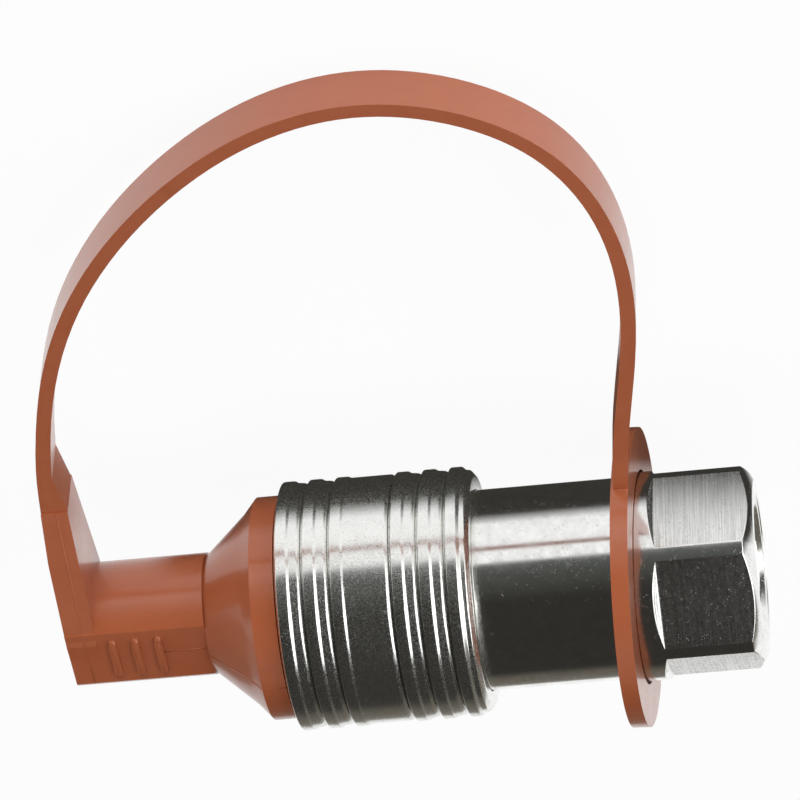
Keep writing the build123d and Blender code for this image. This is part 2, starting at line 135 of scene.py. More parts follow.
class NodeTree:
    """Node tree of a material or a world, built step by step."""

    def __init__(self, tree: bpy.types.NodeTree, output: str) -> None:
        """Empty the tree and give it its output.

        Args:
            tree: The tree to build in.
            output: Blender's name of the output node's type.
        """
        tree.nodes.clear()
        self.tree = tree
        self.output = self.node(output)

    def node(self, kind: str, **settings: Any) -> bpy.types.ShaderNode:
        """Add a node.

        Args:
            kind: Blender's name of the node type.
            **settings: Properties to set on it.

        Returns:
            The new node.
        """
        made = self.tree.nodes.new(kind)
        for key, value in settings.items():
            setattr(made, key, value)
        return made

    def feed(self, target: Socket, value: Any) -> None:
        """Link a socket to an input, or set a constant on it.

        Args:
            target: Input socket.
            value: Output socket or constant.
        """
        if isinstance(value, Socket):
            self.tree.links.new(value, target)
        elif value is not None:
            target.default_value = value

    def vector_math(self, kind: str, first: Any, second: Any = None, scale: float = 1.0) -> Socket:
        """Combine two vectors.

        Args:
            kind: Operation.
            first: First vector.
            second: Second vector, if the operation has one.
            scale: Factor of the SCALE operation.

        Returns:
            The vector that comes out.
        """
        made = self.node("ShaderNodeVectorMath", operation=kind)
        self.feed(made.inputs[0], first)
        if kind == "SCALE":
            made.inputs["Scale"].default_value = scale
        else:
            self.feed(made.inputs[1], second)
        return made.outputs[0]

    def number_math(self, kind: str, first: Any, second: Any = None) -> Socket:
        """Combine two numbers.

        Args:
            kind: Operation.
            first: First number.
            second: Second number, if the operation has one.

        Returns:
            The number that comes out.
        """
        made = self.node("ShaderNodeMath", operation=kind)
        self.feed(made.inputs[0], first)
        self.feed(made.inputs[1], second)
        return made.outputs[0]

    def parts(self, vector: Socket) -> tuple[Socket, Socket, Socket]:
        """Split a vector into its three numbers."""
        made = self.node("ShaderNodeSeparateXYZ")
        self.feed(made.inputs[0], vector)
        return made.outputs[0], made.outputs[1], made.outputs[2]

    def scaled(self, value: Socket, factor: float) -> Socket:
        """Number times a factor."""
        return self.number_math("MULTIPLY", value, factor)

    def opposite(self, share: Socket) -> Socket:
        """One minus a share."""
        return self.number_math("SUBTRACT", 1.0, share)

    def noise(
        self, vector: Socket, scale: float, detail: float = 2.0, rough: float = 0.5
    ) -> Socket:
        """Cloudy noise from 0 to 1.

        Args:
            vector: Where it is read.
            scale: Clouds for each unit of the vector.
            detail: Number of finer layers.
            rough: Strength of the finer layers.

        Returns:
            The noise.
        """
        made = self.node("ShaderNodeTexNoise")
        self.feed(made.inputs["Vector"], vector)
        made.inputs["Scale"].default_value = scale
        made.inputs["Detail"].default_value = detail
        made.inputs["Roughness"].default_value = rough
        return made.outputs["Fac"]

    def specks(self, vector: Socket, scale: float, size: float) -> Socket:
        """Scattered round specks, 1 inside a speck and 0 outside.

        Args:
            vector: Where they are read.
            scale: Cells for each unit of the vector.
            size: Radius of a speck, in cells.

        Returns:
            The mask.
        """
        made = self.node("ShaderNodeTexVoronoi")
        self.feed(made.inputs["Vector"], vector)
        made.inputs["Scale"].default_value = scale
        return self.remap(made.outputs["Distance"], size, size * 0.5, 0.0, 1.0)

    def remap(self, value: Socket, low: float, high: float, start: float, end: float) -> Socket:
        """Carry the range low to high over to the range start to end, clamped."""
        made = self.node("ShaderNodeMapRange")
        for target, number in zip(made.inputs, (value, low, high, start, end)):
            self.feed(target, number)
        return made.outputs[0]

    def blend(self, share: Any, first: Any, second: Any) -> Socket:
        """Mix two colours.

        Args:
            share: Share of the second colour.
            first: Colour or socket.
            second: Colour or socket.

        Returns:
            The mixed colour.
        """
        made = self.node("ShaderNodeMix", data_type="RGBA")
        self.feed(made.inputs[0], share)
        for target, colour in ((made.inputs[6], first), (made.inputs[7], second)):
            self.feed(target, (*colour, 1.0) if isinstance(colour, tuple) else colour)
        return made.outputs[2]

    def bump(self, height: Socket, depth: float, normal: Socket | None = None) -> Socket:
        """Bend the normal with a height map.

        Args:
            height: Height from 0 to 1.
            depth: Real depth of the relief, in millimetres.
            normal: Normal of a relief under this one.

        Returns:
            The bent normal.
        """
        made = self.node("ShaderNodeBump")
        made.inputs["Strength"].default_value = 1.0
        made.inputs["Distance"].default_value = depth * MM
        self.feed(made.inputs["Height"], height)
        self.feed(made.inputs["Normal"], normal)
        return made.outputs[0]

    def ramp(self, stops: Sequence[tuple[float, Colour]], value: Socket) -> Socket:
        """Colour that changes over a number.

        Args:
            stops: Places from 0 to 1 with their colours.
            value: The number.

        Returns:
            The colour that comes out.
        """
        made = self.node("ShaderNodeValToRGB")
        while len(made.color_ramp.elements) < len(stops):
            made.color_ramp.elements.new(0.5)
        for element, (position, colour) in zip(made.color_ramp.elements, stops):
            element.position = position
            element.color = (*colour, 1.0)
        self.feed(made.inputs[0], value)
        return made.outputs[0]

    def mixed(self, share: Socket, first: Socket, second: Socket) -> None:
        """Close the tree with two shaders, mixed by the share of the second."""
        made = self.node("ShaderNodeMixShader")
        for target, source in zip(made.inputs, (share, first, second)):
            self.feed(target, source)
        self.feed(self.output.inputs[0], made.outputs[0])


class Shading(NodeTree):
    """Node tree of a new material, with places in millimetres."""

    def __init__(self, name: str) -> None:
        """Start an empty material.

        Args:
            name: Name of the material.
        """
        self.material = bpy.data.materials.new(name)
        self.material.use_nodes = True
        super().__init__(self.material.node_tree, "ShaderNodeOutputMaterial")
        place = self.node("ShaderNodeTexCoord").outputs["Object"]
        self.place = self.vector_math("SCALE", place, scale=1 / MM)

    def stretched(self, factors: Sequence[float]) -> Socket:
        """Place in millimetres, scaled by one factor for each axis."""
        return self.vector_math("MULTIPLY", self.place, tuple(factors))

    def surface(self, **inputs: Any) -> bpy.types.Material:
        """Close the tree with a Principled shader.

        Args:
            **inputs: Inputs by name, with underscores for spaces.

        Returns:
            The finished material.
        """
        made = self.node("ShaderNodeBsdfPrincipled")
        for key, value in inputs.items():
            self.feed(made.inputs[key.replace("_", " ")], value)
        self.feed(self.output.inputs[0], made.outputs[0])
        return self.material


# ------------------------------------------------------------------ finishes


@dataclass(frozen=True)
class Finish:
    """A finish that a piece takes."""

    name: str
    slot: Slot

    def material(self) -> bpy.types.Material:
        """Material of this finish, made once."""
        known = bpy.data.materials.get(self.name)
        return known or self.make()

    def make(self) -> bpy.types.Material:
        """Build the material."""
        raise NotImplementedError

    def dress(self, piece: bpy.types.Object) -> None:
        """Put the finish on a piece.

        Args:
            piece: Mesh object.
        """
        if piece.material_slots:
            for entry in piece.material_slots:
                entry.material = self.material()
        else:
            piece.data.materials.append(self.material())


@dataclass(frozen=True)
class Metal(Finish):
    """What turned and milled metal share: clouded plating, fine grain and pits."""

    colour: Colour = (0.84, 0.84, 0.82)
    shade: Colour = (0.66, 0.66, 0.64)
    roughness: Span = (0.13, 0.26)
    pit_colour: Colour = (0.30, 0.29, 0.27)
    pit_depth: float = 0.012
    pit_scale: float = 4.5
    pit_size: float = 0.22
    pit_levels: Span = (0.44, 0.60)

    def skin(self, shading: Shading) -> tuple[Socket, Socket, Socket]:
        """Clouds of the plating, its grain, and its pits, which come and go over the surface."""
        clouds = shading.noise(shading.place, 0.7, 4.0, 0.65)
        grain = shading.noise(shading.place, 11.0, 3.0, 0.7)
        pits = shading.specks(shading.place, self.pit_scale, self.pit_size)
        pitted = shading.remap(shading.noise(shading.place, 1.3, 3.0), *self.pit_levels, 0.0, 1.0)
        return clouds, grain, shading.number_math("MULTIPLY", pits, pitted)

    def clouded(self, shading: Shading, clouds: Socket) -> Socket:
        """Colour of the plating, duller in its clouds."""
        return shading.blend(
            shading.remap(clouds, 0.35, 0.7, 0.0, 0.35), self.colour, self.shade
        )

    def polish(self, shading: Shading, clouds: Socket, grain: Socket) -> Socket:
        """Roughness that follows the clouds and the grain."""
        level = shading.number_math("ADD", clouds, shading.scaled(grain, 0.5))
        return shading.remap(level, 0.45, 1.0, *self.roughness)

    def close(
        self, shading: Shading, tone: Socket, gloss: Socket, relief: Socket, pits: Socket
    ) -> bpy.types.Material:
        """Lay the pits over the rest and finish the material.

        Args:
            shading: Tree of the material.
            tone: Colour without pits.
            gloss: Roughness.
            relief: Normal without pits.
            pits: Mask of the pits.

        Returns:
            The finished material.
        """
        tone = shading.blend(shading.scaled(pits, 0.35), tone, self.pit_colour)
        relief = shading.bump(shading.opposite(pits), self.pit_depth, relief)
        return shading.surface(Base_Color=tone, Metallic=1.0, Roughness=gloss, Normal=relief)


@dataclass(frozen=True)
class TurnedMetal(Metal):
    """Metal turned on a lathe: rings of the tool round the axis and a patchy haze."""

    ring_pitch: float = 0.09
    ring_depth: float = 0.0012
    haze: Span = (0.60, 0.68)
    haze_roughness: float = 0.5

    def make(self) -> bpy.types.Material:
        """Build the material."""
        shading = Shading(self.name)
        rings = shading.noise(shading.stretched((1 / self.ring_pitch, 0.12, 0.12)), 1.0, 3.0, 0.65)
        clouds, grain, pits = self.skin(shading)
        ringed = shading.remap(rings, 0.3, 0.7, 0.0, 0.22)
        tone = shading.blend(ringed, self.clouded(shading, clouds), self.shade)
        hazy = shading.remap(grain, *self.haze, 0.0, 1.0)
        bright = self.polish(shading, clouds, grain)
        gloss = shading.number_math(
            "ADD",
            shading.number_math("MULTIPLY", bright, shading.opposite(hazy)),
            shading.scaled(hazy, self.haze_roughness),
        )
        relief = shading.bump(rings, self.ring_depth)
        relief = shading.bump(grain, self.ring_depth * 0.5, relief)
        return self.close(shading, tone, gloss, relief, pits)


@dataclass(frozen=True)
class WrenchEnd(Metal):
    """Port body: turned rings on its round faces and milling lines across its six flats."""

    turn: float = 37.2
    end_x: float = 8.7
    flat_levels: Span = (0.985, 0.998)
    ring_pitch: float = 1 / 11
    ring_depth: float = 0.0016
    mill_pitch: float = 0.16
    mill_depth: float = 0.006
    mill_roughness: Span = (0.22, 0.36)
    grain_depth: float = 0.0008

    def flats(self, shading: Shading) -> Socket:
        """Mask of the six wrench flats."""
        along, _, _ = shading.parts(shading.place)
        normal = shading.node("ShaderNodeNewGeometry").outputs["True Normal"]
        _, normal_y, normal_z = shading.parts(normal)
        # The cosine of six times the angle from a flat is 1 on every flat and less on the round.
        angle = shading.number_math("ARCTAN2", normal_z, normal_y)
        turned_by = shading.number_math("SUBTRACT", angle, math.radians(90 + self.turn))
        facing = shading.number_math("COSINE", shading.scaled(turned_by, 6.0))
        on_end = shading.remap(along, self.end_x + 0.05, self.end_x - 0.05, 0.0, 1.0)
        flat = shading.remap(facing, *self.flat_levels, 0.0, 1.0)
        return shading.number_math("MULTIPLY", flat, on_end)

    def make(self) -> bpy.types.Material:
        """Build the material."""
        shading = Shading(self.name)
        flat = self.flats(shading)
        rings = shading.noise(shading.stretched((1 / self.ring_pitch, 0.12, 0.12)), 1.0, 3.0, 0.65)
        mills = shading.noise(shading.stretched((1 / self.mill_pitch, 0.10, 0.10)), 1.0, 3.5, 0.7)
        rubs = shading.noise(shading.stretched((3.0, 1.6, 1.6)), 1.0, 5.0, 0.8)
        clouds, grain, pits = self.skin(shading)
        milled = shading.remap(mills, 0.38, 0.60, 0.0, 0.75)
        marks = shading.blend(milled, self.colour, self.shade)
        tone = shading.blend(flat, self.clouded(shading, clouds), marks)
        rubbed = shading.remap(rubs, 0.40, 0.80, *self.mill_roughness)
        gloss = shading.blend(flat, self.polish(shading, clouds, grain), rubbed)
        relief = shading.blend(
            flat, shading.bump(rings, self.ring_depth), shading.bump(mills, self.mill_depth)
        )
        relief = shading.bump(grain, self.grain_depth, relief)
        return self.close(shading, tone, gloss, relief, pits)


@dataclass(frozen=True)
class MouldedPlastic(Finish):
    """Injection-moulded plastic: satin skin, slow clouds of colour, faint flow lines and scuffs."""

    colour: Colour = (0.365, 0.094, 0.036)
    pale: Colour = (0.43, 0.128, 0.058)
    deep: Colour = (0.27, 0.060, 0.020)
    roughness: Span = (0.28, 0.44)
    relief_depth: float = 0.003

    def make(self) -> bpy.types.Material:
        """Build the material."""
        shading = Shading(self.name)
        clouds = shading.noise(shading.place, 0.22, 4.0, 0.6)
        flow = shading.noise(shading.stretched((0.5, 0.08, 1.6)), 1.0, 3.0, 0.6)
        skin = shading.noise(shading.place, 9.0, 3.0, 0.6)
        scuffs = shading.noise(shading.stretched((2.6, 0.5, 2.6)), 1.0, 4.0, 0.75)
        tone = shading.blend(shading.remap(clouds, 0.3, 0.7, 0.0, 0.35), self.colour, self.pale)
        tone = shading.blend(shading.remap(flow, 0.5, 0.8, 0.0, 0.2), tone, self.deep)
        tone = shading.blend(shading.remap(scuffs, 0.66, 0.78, 0.0, 0.5), tone, self.pale)
        level = shading.number_math("ADD", clouds, shading.scaled(scuffs, 0.6))
        gloss = shading.remap(level, 0.5, 1.1, *self.roughness)
        relief = shading.bump(skin, self.relief_depth)
        relief = shading.bump(flow, self.relief_depth, relief)
        return shading.surface(
            Base_Color=tone, Roughness=gloss, IOR=1.48, Specular_IOR_Level=0.45, Normal=relief,
            Coat_Weight=0.6, Coat_Roughness=0.13, Coat_IOR=1.5,
        )


@dataclass(frozen=True)
class RubberSeal(Finish):
    """Black nitrile rubber with a fine grain and a little dust."""

    colour: Colour = (0.022, 0.022, 0.023)
    dusty: Colour = (0.10, 0.10, 0.095)
    roughness: Span = (0.42, 0.62)
    grain_depth: float = 0.004

    def make(self) -> bpy.types.Material:
        """Build the material."""
        shading = Shading(self.name)
        grain = shading.noise(shading.place, 6.0, 3.0, 0.6)
        dust = shading.noise(shading.place, 1.4, 4.0, 0.7)
        tone = shading.blend(shading.remap(dust, 0.5, 0.8, 0.0, 0.3), self.colour, self.dusty)
        gloss = shading.remap(grain, 0.3, 0.7, *self.roughness)
        relief = shading.bump(grain, self.grain_depth)
        return shading.surface(Base_Color=tone, Roughness=gloss, Normal=relief)


@dataclass(frozen=True)
class WhiteRing(Finish):
    """Milky fluoroplastic ring with faint turning rings."""

    colour: Colour = (0.82, 0.82, 0.79)
    shade: Colour = (0.70, 0.69, 0.64)
    roughness: Span = (0.35, 0.5)
    ring_depth: float = 0.002

    def make(self) -> bpy.types.Material:
        """Build the material."""
        shading = Shading(self.name)
        rings = shading.noise(shading.stretched((9.0, 0.2, 0.2)), 1.0, 2.0)
        tone = shading.blend(shading.remap(rings, 0.3, 0.7, 0.0, 0.4), self.colour, self.shade)
        gloss = shading.remap(rings, 0.3, 0.7, *self.roughness)
        relief = shading.bump(rings, self.ring_depth)
        return shading.surface(Base_Color=tone, Roughness=gloss, Normal=relief)


@dataclass(frozen=True)
class StudioPaper:
    """White sweep; to reflections it shows a painted shade under the coupling and a painted dim far
    room.
    """

    colour: Colour = (0.90, 0.90, 0.90)
    fibre: Colour = (0.93, 0.93, 0.93)
    glow: float = 0.94
    # Painted shade: a dark patch under the coupling that only reflections see. It stands in for the
    # coupling's own shadow on the sweep.
    shade: Colour = (0.040, 0.038, 0.033)
    painted_shade_front: Span = (-23.5, -16.5)
    painted_shade_back: Span = (1.0, 6.0)
    painted_shade_end: Span = (59.5, 62.5)
    # Painted reflection of a dim far room: far behind the coupling the sweep turns tan-grey to
    # reflections.
    painted_far_room: Colour = (0.20, 0.185, 0.16)
    painted_far_room_start: Span = (190.0, 260.0)

    def mirrored(self, shading: Shading) -> Socket:
        """Colour that metal sees: white, a painted dim far room far off, and a painted shade under
        the coupling.
        """
        along, side, _ = shading.parts(shading.place)
        # Painted shade mask: dark between its front and back edges across the axis and up to its
        # end along the axis.
        painted_shade_mask = shading.number_math(
            "MULTIPLY",
            shading.remap(side, *self.painted_shade_front, 0.0, 1.0),
            shading.remap(side, *self.painted_shade_back, 1.0, 0.0),
        )
        ended = shading.remap(along, *self.painted_shade_end, 1.0, 0.0)
        tone = shading.blend(shading.number_math("MULTIPLY", painted_shade_mask, ended), WHITE, self.shade)
        # Painted reflection: the far sweep shows metal a tan-grey dim room.
        return shading.blend(shading.remap(side, *self.painted_far_room_start, 0.0, 1.0), tone, self.painted_far_room)

    def material(self) -> bpy.types.Material:
        """Paper that stays white to the lens, is white with a painted shade and a painted far room
        in reflections, and keeps a faint shadow.
        """
        shading = Shading("white_paper")
        fibres = shading.remap(shading.noise(shading.place, 0.4, 4.0), 0.3, 0.7, 0.0, 0.3)
        diffuse = shading.node("ShaderNodeBsdfDiffuse")
        shading.feed(diffuse.inputs["Color"], shading.blend(fibres, self.colour, self.fibre))
        path = shading.node("ShaderNodeLightPath").outputs
        seen = path["Is Camera Ray"]
        bounced = (path["Is Glossy Ray"], path["Is Transmission Ray"])
        mirrored = shading.number_math("MAXIMUM", *bounced)
        light = shading.node("ShaderNodeEmission")
        shading.feed(light.inputs["Color"], shading.blend(seen, self.mirrored(shading), WHITE))
        light.inputs["Strength"].default_value = 1.0
        share = shading.number_math("MAXIMUM", shading.scaled(seen, self.glow), mirrored)
        shading.mixed(share, diffuse.outputs[0], light.outputs[0])
        return shading.material


PLATED_BODY = WrenchEnd(
    "bright_plated_body", Slot.PLATED, colour=(0.92, 0.92, 0.90), shade=(0.56, 0.56, 0.55),
    roughness=(0.08, 0.20), pit_levels=(0.46, 0.62),
)
PLATED_SLEEVE = TurnedMetal(
    "bright_plated_sleeve", Slot.PLATED, colour=(0.94, 0.945, 0.92), shade=(0.80, 0.81, 0.78),
    roughness=(0.12, 0.22), ring_pitch=0.07, haze=(0.51, 0.63),
)
PLATED_SOCKET = TurnedMetal("bright_plated_socket", Slot.PLATED)
TURNED_STEEL = TurnedMetal(
    "fine_turned_steel", Slot.TURNED, colour=(0.56, 0.56, 0.55), shade=(0.42, 0.42, 0.41),
    roughness=(0.24, 0.40), ring_pitch=0.12, pit_depth=0.001,
)
SPRING_STEEL = TurnedMetal(
    "drawn_spring_wire", Slot.SPRING, colour=(0.42, 0.42, 0.43), shade=(0.28, 0.28, 0.29),
    roughness=(0.26, 0.44), ring_pitch=0.5, ring_depth=0.001, pit_depth=0.001,
)
BALL_STEEL = TurnedMetal(
    "polished_ball_steel", Slot.BALL, colour=(0.76, 0.76, 0.76), shade=(0.68, 0.68, 0.69),
    roughness=(0.05, 0.12), ring_pitch=1.0, ring_depth=0.0002, pit_depth=0.0004,
)
NITRILE = RubberSeal("nitrile_rubber", Slot.NITRILE)
WHITE_PLASTIC = WhiteRing("white_fluoroplastic", Slot.WHITE)
BROWN_PLASTIC = MouldedPlastic("terracotta_moulding", Slot.BROWN)


# ------------------------------------------------------------------ mesh tools

LONGEST_ROUNDING = 0.45  # share of an edge that a rounding may take at each end
JOIN_REACH = 1e-7  # metres, for points that coincide
WELD_REACH = 1e-6  # metres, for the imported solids
FLAT_ANGLE = 0.4  # degrees between faces that count as one flat


def soften(outline: Outline, radius: float, steps: int = 3) -> Outline:
    """Round the corners of a closed outline.

    Args:
        outline: Corners in order.
        radius: Distance from a corner at which its rounding starts.
        steps: Number of short edges for each corner.

    Returns:
        The rounded outline, with steps + 1 points for each corner.
    """
    rounded: Outline = []
    count = len(outline)
    for index, corner in enumerate(outline):
        here = Vector(corner)
        before, after = Vector(outline[index - 1]), Vector(outline[(index + 1) % count])
        reach_in = min(radius, (before - here).length * LONGEST_ROUNDING)
        reach_out = min(radius, (after - here).length * LONGEST_ROUNDING)
        start = here + (before - here).normalized() * reach_in
        end = here + (after - here).normalized() * reach_out
        for step in range(steps + 1):
            share = step / steps
            point = start * (1 - share) ** 2 + here * (2 * share * (1 - share)) + end * share**2
            rounded.append((point.x, point.y))
    return rounded


def mesh_object(
    name: str, points: Iterable[Vector], faces: Iterable[Sequence[int]]
) -> bpy.types.Object:
    """Mesh object from points in millimetres.

    Args:
        name: Name of the piece.
        points: Corners, in millimetres.
        faces: Corner numbers of each face.

    Returns:
        The object, in metres and smooth shaded.
    """
    data = bpy.data.meshes.new(name)
    data.from_pydata([tuple(point * MM) for point in points], [], [tuple(face) for face in faces])
    data.update()
    for face in data.polygons:
        face.use_smooth = True
    piece = bpy.data.objects.new(name, data)
    bpy.context.scene.collection.objects.link(piece)
    return piece


def close_up(piece: bpy.types.Object, join: bool) -> None:
    """Turn the faces of a closed piece outwards.

    Args:
        piece: The piece.
        join: Whether points that coincide are joined first.
    """
    shape = bmesh.new()
    shape.from_mesh(piece.data)
    if join:
        bmesh.ops.remove_doubles(shape, verts=shape.verts, dist=JOIN_REACH)
    bmesh.ops.recalc_face_normals(shape, faces=shape.faces)
    shape.to_mesh(piece.data)
    shape.free()


def turned(
    name: str, column: Callable[[float], Outline], angles: Sequence[float]
) -> bpy.types.Object:
    """Closed ring about the X axis whose section may change with the angle.

    Args:
        name: Name of the piece.
        column: Closed section as (x, radius) at an angle from +Y towards +Z.
        angles: Angles of the columns.

    Returns:
        The piece.
    """
    points: list[Vector] = []
    for angle in angles:
        points += [Vector((x, r * math.cos(angle), r * math.sin(angle))) for x, r in column(angle)]
    rows = len(points) // len(angles)
    faces = []
    for turn in range(len(angles)):
        here, there = turn * rows, (turn + 1) % len(angles) * rows
        for row in range(rows):
            after = (row + 1) % rows
            faces.append((here + row, here + after, there + after, there + row))
    piece = mesh_object(name, points, faces)
    close_up(piece, join=True)
    return piece


def even_angles(count: int) -> list[float]:
    """Angles that share a turn evenly."""
    return [2 * math.pi * number / count for number in range(count)]


def round_edges(
    piece: bpy.types.Object, width: float, segments: int = 2, angle: float = 22.0
) -> None:
    """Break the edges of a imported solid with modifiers, and leave its mesh as it is.

    Args:
        piece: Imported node.
        width: Width of the rounding, in millimetres.
        segments: Facets of each rounding.
        angle: Edges sharper than this are rounded, in degrees.
    """
    weld = piece.modifiers.new("weld", "WELD")
    weld.merge_threshold = WELD_REACH
    merge = piece.modifiers.new("merge_flats", "DECIMATE")
    merge.decimate_type = "DISSOLVE"
    merge.angle_limit = math.radians(FLAT_ANGLE)
    bevel = piece.modifiers.new("round_edges", "BEVEL")
    bevel.limit_method = "ANGLE"
    bevel.angle_limit = math.radians(angle)
    bevel.width = width * MM
    bevel.segments = segments
    bevel.use_clamp_overlap = True
    normals = piece.modifiers.new("weighted_normals", "WEIGHTED_NORMAL")
    normals.keep_sharp = True
    normals.weight = 60


# ------------------------------------------------------------------ sub-assemblies


class SubAssembly(ABC):
    """Group of pieces that are built and dressed together."""

    @abstractmethod
    def build(self, frame: dict[str, Any]) -> list[bpy.types.Object]:
        """Build the pieces and dress them.


        Returns:
            The pieces that it built or dressed.
        """


@dataclass
class PortBodyPiece(SubAssembly):
    """Port body turned from bar: port with its cut thread, wrench flats, thick end and barrel."""

    face: float = -1.7
    mouth_radius: float = 7.5
    face_radius: float = 8.78
    chamfer_slope: float = 0.6
    bar_radius: float = 10.6
    flat_reach: float = 9.525
    flat_turn: float = 7.2
    hex_end: float = 8.15
    run_out: float = 0.52
    shoulder: float = 10.975
    barrel_radius: float = 10.2
    barrel_end: float = 28.802
    joint_radius: float = 8.0
    joint_start: float = 18.302
    chamber_radius: float = 6.0
    chamber_start: float = 14.302
    passage_radius: float = 3.5
    passage_start: float = 12.682
    bore_end: float = 11.3
    thread_minor: float = 5.8
    thread_major: float = 6.58
    thread_pitch: float = 1.337
    thread_end: float = 10.8
    tooth_slope: float = 2.6
    tooth_root: float = 0.15
    mouth_lap: float = 0.1
    rows_per_turn: int = 12
    least_cut: float = 0.03
    edge: float = 0.13
    flat_steps: tuple[float, ...] = (0.0, 3.5, 7.0, 10.5, 14.0, 17.5, 20.5, 23.0, 24.8)
    corner_steps: tuple[float, ...] = (-0.5, -0.15, 0.15, 0.6, 1.8)
    run_out_steps: tuple[float, ...] = (0.0, 0.5, 0.8, 0.95, 1.0)

    def angles(self) -> list[float]:
        """Angles of the columns, close together where a flat meets the round bar."""
        corner = math.degrees(math.acos(self.flat_reach / self.bar_radius))
        steps = [*self.flat_steps, *(corner + step for step in self.corner_steps), 30.0]
        half = sorted({-step for step in steps[:-1]} | set(steps))
        flats = [self.flat_turn + 60 * number for number in range(6)]
        return [math.radians(middle + step) for middle in flats for step in half]

    def radius(self, angle: float) -> float:
        """Radius of the wrench end: the bar, or the nearest flat where that cuts deeper."""
        return min(self.bar_radius, self.flat_reach / math.cos(self.off_flat(angle)))

    def off_flat(self, angle: float) -> float:
        """Angle to the middle of the nearest flat."""
        third = math.radians(60)
        return (angle - math.radians(self.flat_turn) + third / 2) % third - third / 2

    def bore_radius(self, x: float, angle: float) -> float:
        """Radius of the threaded bore: helix, fading at its inner end, opened by the mouth."""
        phase = (x / self.thread_pitch - angle / (2 * math.pi)) % 1.0
        tooth = min(1.0, max(0.0, abs(phase - 0.5) * self.tooth_slope - self.tooth_root))
        depth = (self.thread_major - self.thread_minor) * (1 - tooth)
        fade = min(1.0, max(0.0, (self.thread_end - x) / self.thread_pitch))
        cone = self.mouth_radius - self.mouth_lap - (x - self.face)
        return max(self.thread_minor + depth * fade, cone)

    def column(self, angle: float) -> Outline:
        """Closed section of the body.

        Args:
            angle: Angle of the column, from +Y towards +Z.

        Returns:
            Points as (x, radius).
        """
        flat = self.radius(angle)
        full_cut = self.bar_radius - self.flat_reach
        cut = self.bar_radius * math.cos(self.off_flat(angle)) - self.flat_reach
        chamfer_end = self.face + (flat - self.face_radius) * self.chamfer_slope
        cut_end = self.hex_end + self.run_out * min(1.0, max(self.least_cut, cut) / full_cut)
        outer = [(self.face, self.mouth_radius), (self.face, self.face_radius), (chamfer_end, flat)]
        outer += [
            (self.hex_end + (cut_end - self.hex_end) * share,
             flat + (self.bar_radius - flat) * (1 - math.sqrt(1 - share * share)))
            for share in self.run_out_steps
        ]
        outer += [
            (self.shoulder, self.bar_radius), (self.shoulder, self.barrel_radius),
            (self.barrel_end, self.barrel_radius), (self.barrel_end, self.joint_radius),
            (self.joint_start, self.joint_radius), (self.joint_start, self.chamber_radius),
            (self.chamber_start, self.chamber_radius), (self.chamber_start, self.passage_radius),
            (self.passage_start, self.passage_radius), (self.bore_end, self.thread_minor),
        ]
        spacing = self.thread_pitch / self.rows_per_turn
        count = int((self.thread_end - self.face) / spacing)
        rows = [self.thread_end - row * spacing for row in range(count)]
        return soften(outer, self.edge) + [(x, self.bore_radius(x, angle)) for x in rows]

    def build(self, frame: dict[str, Any]) -> list[bpy.types.Object]:
        """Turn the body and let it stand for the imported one.


        Returns:
            The new piece.
        """
        body = turned("threaded_port_body", self.column, self.angles())
        PLATED_BODY.dress(body)
        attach(body, Body.COUPLING.value)
        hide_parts("port_body")
        return [body]


